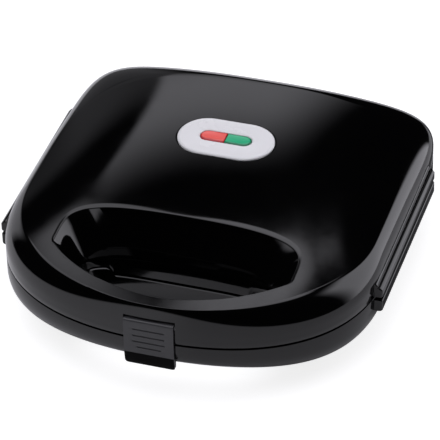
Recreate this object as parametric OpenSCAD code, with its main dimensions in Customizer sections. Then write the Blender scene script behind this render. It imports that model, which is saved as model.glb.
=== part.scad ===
// Sandwich toaster with a hinged lid, a hand opening through its front and a swinging latch clip.
// Millimetres. The body is drawn with y counted back from the front of its wall, then moved so that
// the origin is the centre of the bounding box at table height; -Y is the front and +Z is up.

/* [Body] */
// Width of the body wall
body_w = 225; // [219:1:235]
// Depth of the body wall, front to back
body_d = 238; // [234:1:248]
// Height of the plane where the lid meets the base
split_z = 40; // [39:0.5:44]
// Height of the lid top at its front edge
front_z = 63.5; // [62:0.5:68]
// How far the lid top climbs from its front edge to the crown
crown_rise = 14.6; // [12:0.2:17]
// Height of the lid top at its side edges
side_z = 61; // [59:0.5:64]
// Thickness of the shell mouldings
shell_t = 2.5; // [2:0.1:3]
// Gap between the lid wall and the base wall
split_gap = 1; // [0.6:0.1:1.6]
// Radius of the base wall's rolled lower edge
skirt_r = 16; // [13:0.5:18]

/* [Hand opening] */
// Width of the hand opening at the lid top
grip_w = 141.4; // [120:1:146]
// Thickness of the grip bar at the lid top
grip_bar = 9.5; // [8:0.5:12]
// Length of the hand opening at the lid top, front to back
grip_l = 63.7; // [55:0.5:66]
// How far the opening's rear wall leans forward by the parting plane
grip_lean = 14.7; // [12:0.5:18]

/* [Cooking plates] */
// Distance from the body's side wall to a cooking plate
plate_side = 9.5; // [8.5:0.5:15]
// Distance from the back of the body to a cooking plate
plate_back = 30; // [29:0.5:38]
// Thickness of a plate's flange
flange_t = 2.2; // [2:0.1:2.6]
// Depth of a sandwich pocket
pocket_h = 11; // [8:0.5:12]
// Diameter of a heating element's tube
element_d = 6.6; // [6:0.2:7]

/* [Latch] */
// Width of the latch clip
latch_w = 29.6; // [24:0.2:34]
// How far the latch clip stands proud of the front wall
latch_out = 1.5; // [1:0.1:2]

/* [Side rails] */
// How far a side rail stands out of the body wall
rail_out = 3.7; // [3:0.1:5]
// Length of a side rail
rail_l = 120; // [100:1:130]

/* [Indicator] */
// Width of the oval bezel
bezel_w = 58.8; // [50:0.5:66]
// Depth of the oval bezel, front to back
bezel_d = 36; // [28:0.5:40]

/* [Hinge] */
// Radius of a hinge pin
hinge_pin_r = 1.75; // [1.5:0.05:2]
// Radius of a hinge knuckle
knuckle_r = 4; // [3.6:0.1:4.4]

/* [Output] */
// Which node to draw

/* [Hidden] */

$fn = 64;

// clearances: a running fit, a close fit of fixed pieces, and a free gap
run_fit = 0.05;
close_fit = 0.15;
free_gap = 0.4;
// overlap that lets a cut run clear of a face
over = 1;

// colours
black = [0.035, 0.035, 0.04];
dark_grey = [0.2, 0.2, 0.21];
silver = [0.82, 0.82, 0.84];
steel = [0.62, 0.63, 0.65];

// stations round an outline, every outline is cut at the same angles
stations = 96;
// where the body is widest, counted back from its front
widest = 91;
// outlines are [half width, centre, reach forward, reach back, front power, rear power]
wall = [body_w / 2, widest, widest, body_d - widest, 2.3, 9];
crest_in = 7.3;
crest_front = 2.3;
crest_rear = 22;
crest_z = split_z + 7;
crest_bend = 62;
crest_c = 98.4;
crest = [body_w / 2 - crest_in, crest_c, crest_c - crest_front,
         body_d - crest_rear - crest_c, 2.08, 3.8];
// crown of the lid: the distance back at which it peaks, and how sharply it falls to the sides
crown_at = 140;
crown_power = 2.4;

// base wall: how far it is straight at the front and elsewhere before its lower edge rolls under
rim_z = split_z - split_gap / 2;
skirt_front = 4;
skirt_side = 10;
skirt_bend = 62;
skirt_change = 60;
under_z = rim_z - skirt_front - skirt_r * sin(skirt_bend);

// hand opening at the lid top, at the parting plane and at the underside
grip_c = 42.3;
grip_front_out = 9.8;
grip_mid_back = 4.3;
rim_r = 2;
grip_rear = grip_bar + grip_l;
grip_top = [grip_w / 2, grip_c, grip_c - grip_bar, grip_rear - grip_c, 1.65, 4.83];
grip_mid = [grip_w / 2 - grip_lean, grip_c - grip_mid_back, grip_c - grip_bar - grip_front_out,
            grip_rear - grip_lean - grip_c + grip_mid_back, 1.8, 4.6];
grip_low = [grip_mid[0] - 3.5, grip_mid[1] - 1, grip_mid[2] - 4, grip_mid[3] - 2.5, 1.8, 4.6];
// the lid's rear wall of the hand opening hangs lower in its middle
step_half = 42;
step_h = 4;
// height above the parting plane at which the opening's wall has a ring of points
grip_ring_h = 14;

// heights of the flat pieces, the lid's mirror the base's about the parting plane
plate_gap = 0.6;
plate_face_z = split_z - plate_gap / 2;
flange_z = plate_face_z - flange_t;
deck_t = 2.2;
deck_back = 3;
deck_z = flange_z - deck_t;
foot_h = 6;
pan_floor = foot_h + shell_t;

// cooking plate
plate_lap = 3.2;
plate_w = body_w - 2 * plate_side;
plate_front = grip_rear - plate_lap;
plate_d = body_d - plate_back - plate_front;
plate_c = plate_front + plate_d / 2;
plate_r = 12;
plate_wall = 2.5;
pocket_z = plate_face_z - pocket_h;
belly_z = pocket_z - plate_wall;
cell_edge = 4;
cell_in = 3;
hub_r = 5;
flange_lap = 5;

// heating element under the plate
element_r = element_d / 2;
element_z = belly_z - close_fit - element_r;
element_half = plate_w / 2 - 33;
element_deep = plate_d / 2 - 24;
bend_r = 12;
lead_gap = 14;
lead_r = 1.6;
lead_l = 9;
clamp_t = 1.5;
clamp_z = element_z - element_r - clamp_t;
clamp_x = 35;
clamp_boss_r = 4.5;
clamp_w = 10;
clamp_past = 6;
clamp_screw_l = 4;
thermostat_top = element_z + 2;
shield_t = 0.8;
shield_r = 8;
shield_h = 4;
shield_z = clamp_z - 2.2 - shield_t;
shield_half = plate_w / 2 - 23;
shield_deep = plate_d / 2 - 12;

// pan under the base that holds the element and the wiring
pan_in = 11.5;
pan_front = grip_rear - grip_lean + 3;
pan_rear = body_d - 14;
pan_c = (pan_front + pan_rear) / 2;
pan = [body_w / 2 - pan_in, pan_c, pan_c - pan_front, pan_rear - pan_c, 4.6, 4.6];
pan_lean = 9;
pan_round = 3;
pan_lap = 1;

// screws and their bosses
boss_r = 4;
boss_bury = 0.7;
boss_drop = 2;
screw_l = 7;
screw_r = 1.5;
screw_head_r = 3;
screw_head_h = 1.7;
slot_l = 3.4;
slot_w = 0.8;
slot_h = 1.4;
plate_screw_in = 0.6 * flange_t;
plate_screws = [[plate_w / 2 - 4, plate_c - plate_d / 2 + plate_r + 6],
                [plate_w / 2 - 4, plate_c + plate_d / 2 - plate_r - 6]];

// hinge
hinge_y = body_d + knuckle_r + 0.6;
hinge_x = 58;
lid_knuckle = 15;
ear_t = 4.2;
pin_head_r = 2.9;
pin_head_t = 1.2;
web_h = 3.2;
web_foot = 2;

// latch
latch_y = 2.3;
latch_pin_r = 1.25;
latch_head_r = 3;
latch_pivot_z = split_z + 10.6;
latch_top = split_z + 13.9;
latch_side = 0.5;
latch_corner_r = 2.5;
recess_half = latch_w / 2 + latch_side;
recess_y = latch_y + latch_head_r + 0.5;
recess_top = latch_top + 1.6;
cheek_t = 3.6;
cheek_z = split_z - 13;
base_cheek_y = 3;
lid_cheek_y = 1.5;
cheek_cap = 2;
catch_z = split_z - 12.1;
catch_h = 3.4;
catch_y = 2.3;
hook_z = split_z - 18.9;

// indicator
bezel_y = 147.3;
bezel_t = 2.1;
bezel_step = 0.7;
bezel_z = front_z + crown_rise - 1.5;
pill_half = 15.9;
pill_r = 5;
lens_out = 0.3;
lens_in = 1.5;
lamp_r = 2;
lamp_l = 9;
lamp_x = 8.5;
holder_floor = bezel_z - 11;
holder_t = 1.5;
holder_drop = 1.7;

// side rails
rail_y = 72.5;
rail_x = body_w / 2 + rail_out;
rail_root = body_w / 2 - 1.9;
rail_low = split_z - 10.2;
rail_high = split_z + 8;
rail_r = 0.8;
rail_open = 1.5;

// feet and cord gland
foot_r = 8;
foot_neck_r = 2.5;
foot_head = 0.8;
foot_spots = [[body_w / 2 - 38, pan_front + 31], [body_w / 2 - 38, pan_rear - 31]];
gland_r = 2.8;
gland_wall = 1;
gland_z = split_z - 8;
gland_flange_r = 5;
gland_flange_t = 1.2;
gland_seat = 0.3;
gland_in = 2;
gland_out = 4;

front_y = -(hinge_y + knuckle_r - latch_out) / 2;

function mix(a, b, s) = a * (1 - s) + b * s;
function clamp01(s) = min(1, max(0, s));

// distance from an outline's centre to its edge in direction t
function reach(a, b, p, t) =
    1 / pow(pow(abs(cos(t)) / a, p) + pow(abs(sin(t)) / b, p), 1 / p);

function edge(o, t) =
    let (
        back = sin(t) > 0,
        r = reach(o[0], back ? o[3] : o[2], back ? o[5] : o[4], t)
    )
    [r * cos(t), o[1] + r * sin(t)];

function inset(o, d) = [o[0] - d, o[1], o[2] - d, o[3] - d, o[4], o[5]];
function ring(o) = [for (i = [0:stations - 1]) edge(o, 360 * i / stations)];
function at(p, z) = [p[0], p[1], z];

// height of the lid's top surface
function middle_z(y) = front_z + crown_rise * sin(90 * y / crown_at);
function top_z(p) =
    let (c = middle_z(p[1]))
    c - (c - side_z) * pow(clamp01(abs(p[0]) / crest[0]), crown_power);

// wall of the hand opening, grown outward by d
function grip_at(t, z, d) =
    let (
        rim = edge(grip_top, t),
        rim_height = top_z(rim),
        mid = edge(inset(grip_mid, -d), t)
    )
    z >= split_z
        ? mix(mid, edge(inset(grip_top, -d), t), (z - split_z) / (rim_height - split_z))
        : mix(mid, edge(inset(grip_low, -d), t), (split_z - z) / (split_z - under_z));

// how low the step in the rear wall of the hand opening reaches at direction t
function step_at(t) =
    let (p = edge(grip_mid, t))
    sin(t) > 0 && abs(p[0]) < step_half ? step_h : 0;

// point on the lid's shoulder at direction t, s runs from the wall (0) to the crest line (1)
function shoulder(t, s) =
    let (
        w = edge(wall, t),
        c = edge(crest, t),
        a = acos(1 - s * (1 - cos(crest_bend)))
    )
    at(mix(w, c, s), crest_z + (top_z(c) - crest_z) * sin(a) / sin(crest_bend));

// screws through a deck, each with the height that the lid's boss reaches inside its skin
front_screw = [body_w / 2 - 34.5, 50];
// the rear one is past the direction of the body's rear corner
rear_screw_past = 2.4;
rear_screw_t = atan((body_d - widest) / (body_w / 2)) + rear_screw_past;
rear_screw_s = 0.58;
rear_screw = shoulder(rear_screw_t, rear_screw_s);
rear_span = norm(edge(wall, rear_screw_t) - edge(crest, rear_screw_t));
deck_screws = [
    at(front_screw, top_z(front_screw + [boss_r, -boss_r]) - boss_bury),
    at(rear_screw, shoulder(rear_screw_t, rear_screw_s - boss_r / rear_span)[2] - boss_bury)
];
shield_posts = [for (s = [-1, 1]) [shield_half - 10, plate_c + s * (shield_deep - 8)]];
lid_posts = [for (s = [-1, 1]) [shield_half - 22, plate_c + s * (shield_deep - 10)]];

// closed section of the lid shell at direction t, outside first and back along the inside
function lid_section(t) =
    let (
        w = edge(wall, t),
        wi = edge(inset(wall, shell_t), t),
        c = edge(crest, t),
        ci = edge(inset(crest, shell_t * 0.6), t),
        g = edge(grip_top, t),
        rim = edge(inset(grip_top, -rim_r), t),
        cz = top_z(c),
        gz = top_z(g),
        low = split_z + split_gap / 2,
        straight = crest_z,
        end = low - step_at(t),
        skin = shell_t
    )
    concat(
        [at(w, low), at(w, straight)],
        [for (k = [1:6]) shoulder(t, (1 - cos(crest_bend * k / 6)) / (1 - cos(crest_bend)))],
        [for (s = [0.12, 0.3, 0.52, 0.74, 0.9])
            let (p = mix(c, rim, s))
            at(p, top_z(p))],
        [at(rim, top_z(rim)),
         at(edge(inset(grip_top, -0.3 * rim_r), t), gz - 0.25 * rim_r),
         at(edge(grip_top, t), gz - rim_r)],
        [at(grip_at(t, split_z + grip_ring_h, 0), split_z + grip_ring_h),
         at(grip_at(t, end, 0), end)],
        [at(grip_at(t, end, skin), end),
         at(grip_at(t, split_z + grip_ring_h, skin), split_z + grip_ring_h),
         at(edge(inset(grip_top, -rim_r - skin * 0.6), t), gz - rim_r - skin)],
        [for (s = [0.8, 0.5, 0.2])
            let (p = mix(ci, edge(inset(grip_top, -2 * rim_r), t), s))
            at(p, top_z(p) - skin)],
        [at(ci, cz - skin),
         at(mix(wi, ci, 0.35), mix(straight, cz - skin, 0.75)),
         at(wi, straight),
         at(wi, low)]
    );

// closed section of the base ring at direction t, along the underside, up the wall and back inside
function base_section(t) =
    let (
        w = edge(wall, t),
        deep = max(pow(clamp01(abs(w[0]) / crest[0]), 2), clamp01((w[1] - widest) / skirt_change)),
        straight = rim_z - mix(skirt_front, skirt_side, deep),
        low = under_z,
        end = rim_z - step_at(t) - (step_at(t) > 0 ? split_gap / 2 : 0),
        r = skirt_r,
        skin = shell_t
    )
    concat(
        [at(grip_at(t, low, rim_r), low)],
        [for (k = [0:6])
            let (a = skirt_bend * (6 - k) / 6)
            at(edge(inset(wall, r * (1 - cos(a))), t), straight - r * sin(a))],
        [at(w, rim_z),
         at(edge(inset(wall, skin), t), rim_z)],
        [for (k = [0:3])
            let (a = skirt_bend * k / 3)
            at(edge(inset(wall, skin + (r - skin) * (1 - cos(a))), t),
               straight - (r - skin) * sin(a))],
        [at(grip_at(t, low + skin, skin + 1), low + skin),
         at(grip_at(t, low + skin + rim_r, skin), low + skin + rim_r),
         at(grip_at(t, end, skin), end),
         at(grip_at(t, end, 0), end),
         at(grip_at(t, low + rim_r, 0), low + rim_r),
         at(grip_at(t, low + 0.3 * rim_r, 0.3 * rim_r), low + 0.3 * rim_r)]
    );

// skin closed both ways: stations of one closed section each
module closed_loft(sections) {
    n = len(sections);
    m = len(sections[0]);
    points = [for (s = sections) each s];
    faces = [
        for (i = [0:n - 1])
            for (j = [0:m - 1])
                let (
                    a = i * m + j,
                    b = i * m + (j + 1) % m,
                    c = ((i + 1) % n) * m + (j + 1) % m,
                    d = ((i + 1) % n) * m + j
                )
                each [[a, b, c], [a, c, d]]
    ];
    polyhedron(points = points, faces = faces);
}

// solid through a stack of convex rings, lowest first
module stack_loft(rings) {
    n = len(rings[0]);
    m = len(rings);
    points = [for (r = rings) each r];
    side = [
        for (k = [0:m - 2])
            for (i = [0:n - 1])
                let (
                    a = k * n + i,
                    b = (k + 1) * n + i,
                    c = (k + 1) * n + (i + 1) % n,
                    d = k * n + (i + 1) % n
                )
                each [[a, b, c], [a, c, d]]
    ];
    caps = [
        for (i = [1:n - 2])
            each [[0, i, i + 1], [(m - 1) * n, (m - 1) * n + i + 1, (m - 1) * n + i]]
    ];
    polyhedron(points = points, faces = concat(side, caps));
}

module placed() {
    translate([0, front_y, 0]) children();
}

// the lid's copy of a piece that is drawn for the base
module lid_side() {
    translate([0, 0, 2 * split_z]) mirror([0, 0, 1]) children();
}

module both_sides() {
    for (s = [0, 1])
        mirror([s, 0, 0]) children();
}

module along_x(r, l) {
    rotate([0, 90, 0]) cylinder(r = r, h = l, center = true);
}

module oval(w, d) {
    square([w - d, d], center = true);
    for (s = [-1, 1])
        translate([s * (w - d) / 2, 0]) circle(d = d);
}

module rounded(w, d, r) {
    square([w - 2 * r, d], center = true);
    square([w, d - 2 * r], center = true);
    for (i = [-1, 1])
        for (j = [-1, 1])
            translate([i * (w / 2 - r), j * (d / 2 - r)]) circle(r = r);
}

// ---- shells ----

// half of a side rail, flat at the parting gap and with a rounded far edge
module rail(flat, far) {
    r = rail_r;
    way = far > flat ? 1 : -1;
    translate([0, rail_y + rail_l, 0])
        rotate([90, 0, 0])
            linear_extrude(rail_l)
                polygon(concat(
                    [[rail_root, flat], [rail_x, flat]],
                    [for (k = [0:6])
                        let (a = 90 * k / 6)
                        [rail_x - r + r * cos(a), far - way * (r - r * sin(a))]],
                    [[rail_root, far]]
                ));
}

// knuckle with its web to the rear wall, the web is drawn above the hinge line
module knuckle(l) {
    along_x(knuckle_r, l);
    translate([-l / 2, body_d - shell_t - hinge_y, split_gap / 2])
        cube([l, hinge_y - body_d + shell_t, web_h]);
    translate([-l / 2, body_d - shell_t - hinge_y, split_gap / 2])
        cube([l, shell_t + web_foot, 2 * web_h]);
}

module boss(z0, z1) {
    translate([0, 0, z0]) cylinder(r = boss_r, h = z1 - z0);
}

module screw_hole(z0, z1) {
    translate([0, 0, z0]) cylinder(r = screw_r + run_fit, h = z1 - z0);
}

module at_pairs(list) {
    for (p = list)
        both_sides()
            translate([p[0], p[1], 0]) children();
}

module pan_solid(d, z0, z1) {
    rings = [
        [z0, pan_lean + pan_round],
        [z0 + 0.3 * pan_round, pan_lean + 0.3 * pan_round],
        [z0 + pan_round, pan_lean],
        [z1, 0]
    ];
    stack_loft([for (r = rings) [for (p = ring(inset(pan, r[1] + d))) at(p, r[0])]]);
}

module base_shell() {
    color(black) placed()
    difference() {
        union() {
            difference() {
                union() {
                    closed_loft([for (i = [0:stations - 1]) base_section(360 * i / stations)]);
                    pan_solid(0, foot_h, under_z + pan_lap);
                    both_sides() rail(rim_z - rail_open, rail_low);
                    translate([-recess_half - cheek_t, base_cheek_y, cheek_z])
                        cube([2 * (recess_half + cheek_t), recess_y + shell_t - base_cheek_y,
                              rim_z - cheek_z]);
                    both_sides()
                        for (s = [-1, 1])
                            translate([hinge_x + s * (lid_knuckle / 2 + free_gap + ear_t / 2),
                                       hinge_y, split_z])
                                mirror([0, 0, 1]) knuckle(ear_t);
                }
                pan_solid(shell_t, pan_floor, under_z + shell_t + over);
                translate([-recess_half, -over - latch_out, under_z - over])
                    cube([2 * recess_half, recess_y + over + latch_out,
                          rim_z - under_z + 2 * over]);
                translate([0, body_d - shell_t / 2, gland_z])
                    rotate([90, 0, 0]) cylinder(r = gland_r + gland_wall + run_fit, h = 4 * shell_t,
                                                center = true);
            }
            translate([-recess_half - over, catch_y, catch_z])
                cube([2 * (recess_half + over), recess_y - catch_y + over, catch_h]);
            at_pairs(deck_screws) boss(under_z - boss_drop, deck_z);
            at_pairs(shield_posts) boss(pan_floor - shell_t / 2, shield_z);
        }
        at_pairs(deck_screws) screw_hole(deck_z - screw_l - over, deck_z + over);
        both_sides()
            translate([hinge_x, hinge_y, split_z])
                along_x(hinge_pin_r + run_fit / 2, lid_knuckle + 2 * (ear_t + over));
        at_pairs(foot_spots)
            translate([0, 0, foot_h - over])
                cylinder(r = foot_neck_r + 2 * run_fit, h = shell_t + 2 * over);
    }
}

module lid_shell() {
    color(black) placed()
    difference() {
        union() {
            difference() {
                union() {
                    closed_loft([for (i = [0:stations - 1]) lid_section(360 * i / stations)]);
                    both_sides() rail(split_z + split_gap / 2, rail_high);
                    translate([-recess_half - cheek_t, lid_cheek_y, split_z + split_gap / 2])
                        cube([2 * (recess_half + cheek_t), recess_y + shell_t - lid_cheek_y,
                              recess_top + cheek_cap - split_z - split_gap / 2]);
                    both_sides()
                        translate([hinge_x, hinge_y, split_z]) knuckle(lid_knuckle);
                }
                translate([-recess_half, -over - latch_out, split_z - over])
                    cube([2 * recess_half, recess_y + over + latch_out,
                          recess_top - split_z + over]);
                translate([0, bezel_y, bezel_z]) linear_extrude(5)
                    oval(bezel_w + 2 * free_gap, bezel_d + 2 * free_gap);
                translate([0, bezel_y, bezel_z - 6]) linear_extrude(10)
                    oval(2 * (pill_half + close_fit), 2 * (pill_r + close_fit));
            }
            for (p = deck_screws)
                at_pairs([p]) boss(2 * split_z - deck_z, p[2]);
            for (p = lid_posts)
                at_pairs([p]) boss(2 * split_z - shield_z, top_z(p + [boss_r, 0]) - boss_bury);
        }
        at_pairs(deck_screws)
            screw_hole(2 * split_z - deck_z - over, 2 * split_z - deck_z + screw_l + over);
        both_sides()
            translate([hinge_x, hinge_y, split_z])
                along_x(hinge_pin_r + run_fit, lid_knuckle + 2 * over);
        translate([0, latch_y, latch_pivot_z])
            along_x(latch_pin_r + run_fit / 2, 2 * (recess_half + cheek_t - 1));
    }
}

// ---- decks round the cooking plates ----

module deck_outline() {
    difference() {
        polygon(ring(inset(wall, shell_t + free_gap)));
        polygon(ring(inset(grip_mid, -shell_t - deck_back)));
        translate([0, plate_c])
            rounded(plate_w - 2 * flange_lap, plate_d - 2 * flange_lap, plate_r - 3);
        translate([-recess_half - cheek_t - free_gap, -over])
            square([2 * (recess_half + cheek_t + free_gap),
                    recess_y + shell_t + free_gap + over]);
        translate([-gland_flange_r - free_gap, body_d - shell_t - gland_in - free_gap])
            square(2 * (gland_flange_r + free_gap));
        for (p = concat(deck_screws, plate_screws))
            both_sides()
                translate([p[0], p[1]]) circle(r = screw_r + close_fit);
    }
}

module deck() {
    placed() translate([0, 0, deck_z]) linear_extrude(deck_t) deck_outline();
}

module base_deck() {
    color(dark_grey) deck();
}

module lid_deck() {
    color(dark_grey) lid_side() deck();
}

// ---- cooking plates ----

// rounded triangle inset by d with corner radius r, corners counter-clockwise
function triangle_ring(v, d, r, z) =
    let (
        a = norm(v[1] - v[2]),
        b = norm(v[2] - v[0]),
        c = norm(v[0] - v[1]),
        centre = (a * v[0] + b * v[1] + c * v[2]) / (a + b + c),
        half = (a + b + c) / 2,
        inner = sqrt((half - a) * (half - b) * (half - c) / half),
        k = (inner - d - r) / inner
    )
    [for (i = [0:2])
        let (
            p = centre + (v[i] - centre) * k,
            e0 = v[i] - v[(i + 2) % 3],
            e1 = v[(i + 1) % 3] - v[i],
            a0 = atan2(e0[1], e0[0]) - 90,
            turn = (atan2(e1[1], e1[0]) - 90 - a0 + 720) % 360
        )
        for (j = [0:6])
            let (t = a0 + turn * j / 6)
            [p[0] + r * cos(t), p[1] + r * sin(t), z]];

// one triangular pocket, grown outward by g
module pocket(v, g) {
    floor_z = pocket_z - (g > 0 ? plate_wall : 0);
    top = plate_face_z + (g > 0 ? -flange_t / 2 : over);
    h = plate_face_z - floor_z;
    levels = [
        [floor_z, 14, 4],
        [floor_z + h * 0.05, 11.5, 5],
        [floor_z + h * 0.2, 8.8, 6],
        [floor_z + h * 0.6, 4.6, 6.5],
        [top, g > 0 ? 1.4 : 1.4 - over * 0.3, 7]
    ];
    stack_loft([for (l = levels) triangle_ring(v, cell_in + l[1] - g, l[2] + g / 2, l[0])]);
}

module pockets(g) {
    x0 = cell_edge;
    x1 = plate_w / 2 - cell_edge;
    y0 = plate_c - plate_d / 2 + cell_edge;
    y1 = plate_c + plate_d / 2 - cell_edge;
    both_sides() {
        pocket([[x0, y0], [x1, y0], [x1, y1]], g);
        pocket([[x0, y0], [x1, y1], [x0, y1]], g);
    }
}

module plate_body() {
    placed()
    difference() {
        union() {
            translate([0, plate_c, flange_z]) linear_extrude(flange_t)
                rounded(plate_w, plate_d, plate_r);
            pockets(plate_wall);
            both_sides()
                translate([clamp_x, plate_c, clamp_z + clamp_t])
                    cylinder(r = clamp_boss_r, h = flange_z + flange_t / 2 - clamp_z - clamp_t);
            translate([0, plate_c, thermostat_top])
                cylinder(r = hub_r, h = flange_z + flange_t / 2 - thermostat_top);
        }
        pockets(0);
        both_sides()
            translate([clamp_x, plate_c, clamp_z])
                cylinder(r = screw_r + run_fit, h = clamp_t + clamp_screw_l + over);
        at_pairs(plate_screws)
            translate([0, 0, flange_z - over])
                cylinder(r = screw_r + run_fit, h = over + plate_screw_in + 0.1 * flange_t);
    }
}

module lower_plate() {
    color(dark_grey) plate_body();
}

module upper_plate() {
    color(dark_grey) lid_side() plate_body();
}

// pan-head screw whose head sits on z = 0 and points down
module screw(l) {
    cylinder(r = screw_r, h = l);
    difference() {
        translate([0, 0, -screw_head_h]) cylinder(r = screw_head_r, h = screw_head_h);
        for (a = [0, 90])
            rotate(a) translate([0, 0, -screw_head_h])
                cube([slot_l, slot_w, slot_h], center = true);
    }
}

module plate_screw_set() {
    placed() at_pairs(plate_screws)
        translate([0, 0, deck_z]) screw(deck_t + plate_screw_in);
}

module lower_plate_screws() {
    color(steel) plate_screw_set();
}

module upper_plate_screws() {
    color(steel) lid_side() plate_screw_set();
}

// ---- heating elements ----

module element() {
    run = 2 * (element_half - bend_r);
    deep = 2 * (element_deep - bend_r);
    tail = element_half - bend_r - lead_gap;
    placed() translate([0, plate_c, element_z]) {
        translate([0, -element_deep, 0]) along_x(element_r, run);
        both_sides() {
            translate([element_half, 0, 0])
                rotate([90, 0, 0]) cylinder(r = element_r, h = deep, center = true);
            translate([lead_gap + tail / 2, element_deep, 0]) along_x(element_r, tail);
            translate([lead_gap - lead_l / 2, element_deep, 0]) along_x(lead_r, lead_l + over);
            for (s = [0, 1])
                mirror([0, s, 0])
                    translate([element_half - bend_r, element_deep - bend_r, 0])
                        rotate_extrude(angle = 90)
                            translate([bend_r, 0]) circle(r = element_r);
        }
    }
}

module lower_element() {
    color(steel) element();
}

module upper_element() {
    color(steel) lid_side() element();
}

module clamp_bars() {
    placed() both_sides()
        translate([clamp_x, plate_c, clamp_z])
            difference() {
                linear_extrude(clamp_t)
                    rounded(clamp_w, 2 * (element_deep + clamp_past), 3);
                translate([0, 0, -over])
                    cylinder(r = screw_r + close_fit, h = clamp_t + 2 * over);
            }
}

module lower_clamps() {
    color(steel) clamp_bars();
}

module upper_clamps() {
    color(steel) lid_side() clamp_bars();
}

module clamp_screw_set() {
    placed() both_sides()
        translate([clamp_x, plate_c, clamp_z]) screw(clamp_t + clamp_screw_l);
}

module lower_clamp_screws() {
    color(steel) clamp_screw_set();
}

module upper_clamp_screws() {
    color(steel) lid_side() clamp_screw_set();
}

module shield(half, deep) {
    placed() translate([0, plate_c, shield_z]) {
        linear_extrude(shield_t) rounded(2 * half, 2 * deep, shield_r);
        linear_extrude(shield_h)
            difference() {
                rounded(2 * half, 2 * deep, shield_r);
                rounded(2 * (half - shield_t), 2 * (deep - shield_t), shield_r - shield_t);
            }
    }
}

module lower_shield() {
    color(silver) shield(shield_half, shield_deep);
}

module upper_shield() {
    color(silver) lid_side() shield(shield_half - 8, shield_deep - 2);
}

// ---- small parts in the base ----

module thermostat() {
    color(dark_grey) placed() translate([0, plate_c, 0]) {
        can_h = 4.2;
        flange_h = 2;
        tag = [8, 4, 0.8];
        translate([0, 0, thermostat_top - flange_h]) cylinder(r = 9, h = flange_h);
        translate([0, 0, thermostat_top - can_h]) cylinder(r = 7, h = can_h - flange_h + 0.1);
        both_sides()
            translate([2.5, -tag[1] / 2, thermostat_top - can_h + 0.7]) cube(tag);
    }
}

module thermal_fuse() {
    body_r = 1.2;
    color(silver) placed()
        translate([0, plate_c + 26, shield_z + shield_t + body_r]) {
            along_x(body_r, 20);
            along_x(0.5, 34);
        }
}

module terminal_block() {
    block = [34, 8, 5.5];
    pitch = 11;
    wire_r = 1.5;
    wire_z = 2.5;
    color([0.9, 0.88, 0.82]) placed()
        translate([0, pan_rear - pan_lean - 13, pan_floor])
            difference() {
                translate([-block[0] / 2, -block[1] / 2, 0]) cube(block);
                for (i = [-1:1])
                    translate([i * pitch, 0, wire_z]) {
                        rotate([90, 0, 0]) cylinder(r = wire_r, h = 2 * block[1], center = true);
                        cylinder(r = 1.2 * wire_r, h = block[2]);
                    }
            }
}

module base_deck_screws() {
    color(steel) placed() at_pairs(deck_screws)
        translate([0, 0, deck_z + deck_t]) mirror([0, 0, 1]) screw(deck_t + screw_l);
}

module lid_deck_screws() {
    color(steel) lid_side() placed() at_pairs(deck_screws)
        translate([0, 0, deck_z + deck_t]) mirror([0, 0, 1]) screw(deck_t + screw_l);
}

module cord_gland() {
    color(black) placed()
        translate([0, body_d - shell_t, gland_z])
            rotate([-90, 0, 0])
                rotate_extrude()
                    polygon([
                        [gland_r, -gland_in],
                        [gland_flange_r, -gland_in],
                        [gland_flange_r, -gland_seat],
                        [gland_r + gland_wall, -gland_seat],
                        [gland_r + gland_wall, shell_t + run_fit],
                        [gland_flange_r, shell_t + run_fit],
                        [gland_flange_r, shell_t + gland_flange_t],
                        [gland_r + gland_wall, shell_t + gland_out],
                        [gland_r, shell_t + gland_out]
                    ]);
}

module rubber_feet() {
    color(black) placed()
        at_pairs(foot_spots)
            rotate_extrude()
                polygon([
                    [0, 0],
                    [foot_r - 1.5, 0],
                    [foot_r - 0.4, 0.5],
                    [foot_r, 1.6],
                    [foot_r + 0.6, foot_h],
                    [foot_neck_r, foot_h],
                    [foot_neck_r, foot_h + shell_t + foot_head],
                    [0, foot_h + shell_t + foot_head]
                ]);
}

module hinge_pins() {
    end = lid_knuckle / 2 + free_gap + ear_t;
    color(steel) placed() both_sides()
        translate([hinge_x, hinge_y, split_z]) {
            along_x(hinge_pin_r, 2 * end);
            translate([end + pin_head_t / 2, 0, 0]) along_x(pin_head_r, pin_head_t);
        }
}

// ---- indicator on the lid ----

module pill(r, half) {
    oval(2 * half, 2 * r);
}

module indicator_bezel() {
    color(silver) placed() translate([0, bezel_y, bezel_z])
        difference() {
            union() {
                linear_extrude(bezel_t - bezel_step) oval(bezel_w, bezel_d);
                linear_extrude(bezel_t) oval(bezel_w - 1.8, bezel_d - 1.8);
            }
            translate([0, 0, -over])
                linear_extrude(bezel_t + 2 * over) pill(pill_r, pill_half);
        }
}

// one lens: its half of the pill, down to the lamp holder
module lens(side) {
    placed() translate([0, bezel_y, 0])
        intersection() {
            translate([0, 0, bezel_z - lens_in])
                linear_extrude(bezel_t + lens_out + lens_in)
                    pill(pill_r - close_fit, pill_half - close_fit);
            translate([side * (pill_half + run_fit), 0, bezel_z])
                cube([2 * pill_half, 4 * pill_r, 4 * pill_r], center = true);
        }
}

module red_lens() {
    color([0.85, 0.1, 0.08]) lens(-1);
}

module green_lens() {
    color([0.02, 0.5, 0.25]) lens(1);
}

module lamp(side) {
    placed() translate([side * lamp_x, bezel_y, holder_floor + holder_t + lamp_r])
        along_x(lamp_r, lamp_l);
}

module red_lamp() {
    color([0.9, 0.5, 0.4]) lamp(-1);
}

module green_lamp() {
    color([0.6, 0.9, 0.6]) lamp(1);
}

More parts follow.
